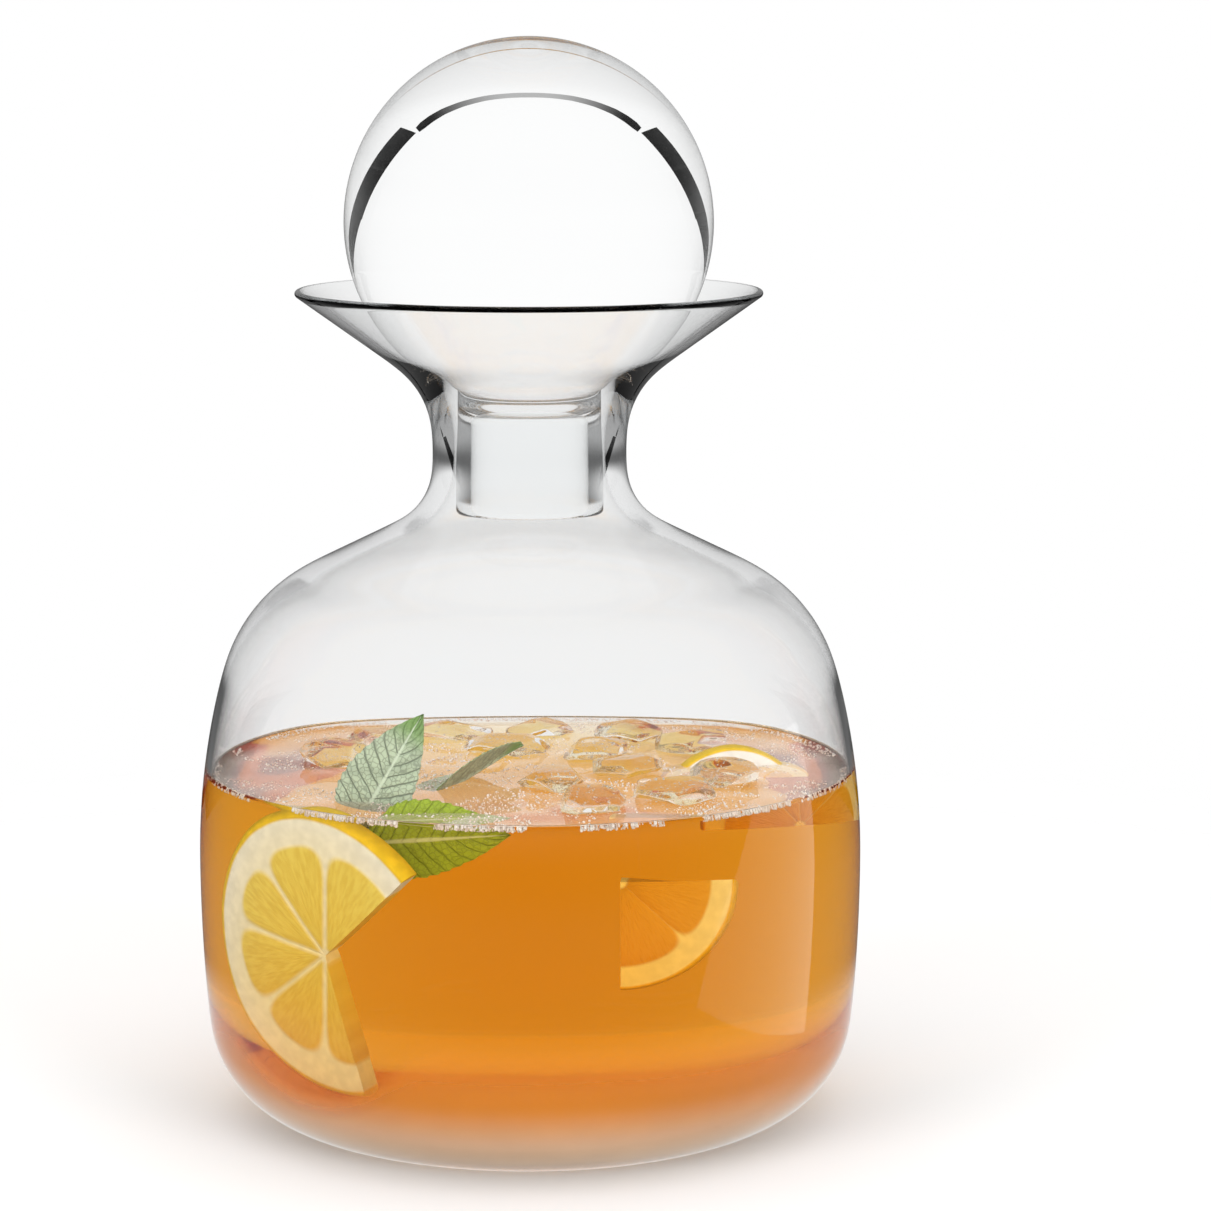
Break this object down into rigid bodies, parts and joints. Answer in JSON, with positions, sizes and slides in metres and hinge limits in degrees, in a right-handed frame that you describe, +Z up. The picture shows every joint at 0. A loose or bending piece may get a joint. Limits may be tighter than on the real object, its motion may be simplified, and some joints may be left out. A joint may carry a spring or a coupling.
{
  "type": "glass carafe with ball stopper",
  "caption": "Squat glass carafe with a waisted neck, a wide funnel mouth and a lift-out glass ball stopper, part filled with iced tea, lemon, mint and ice.",
  "frame": {"origin": "centre of the foot, on the surface it stands on", "axes": "+Z up the axis of the glass, -Y toward the pictured side, +X to its right"},
  "size_m": [0.145, 0.145, 0.2358],
  "materials": {
    "bottle_glass": "clear, fire-polished",
    "stopper_glass": "clear, polished",
    "tea": "clear amber liquid",
    "lemon": "moist",
    "mint": "leaf, slightly glossy",
    "ice": "clear, wet"
  },
  "bodies": {
    "bottle": {"carafe_bottle": "bottle_glass", "iced_tea": "tea", "lemon_slice": "lemon", "lemon_wedge": "lemon", "lemon_half_slice": "lemon", "mint_leaf_upright": "mint", "mint_leaf_lying": "mint", "mint_leaf_floating": "mint", "ice_01": "ice", "ice_02": "ice", "ice_03": "ice", "ice_04": "ice", "ice_05": "ice", "ice_06": "ice", "ice_07": "ice", "ice_08": "ice", "ice_09": "ice", "ice_10": "ice", "ice_11": "ice", "ice_12": "ice", "ice_13": "ice"},
    "stopper": {"ball_stopper": "stopper_glass"}
  },
  "joints": [
    {"name": "stopper_lift", "type": "slide", "parent": "bottle", "child": "stopper", "axis": [0, 0, 1], "range_m": [0, 0.1]}
  ]
}
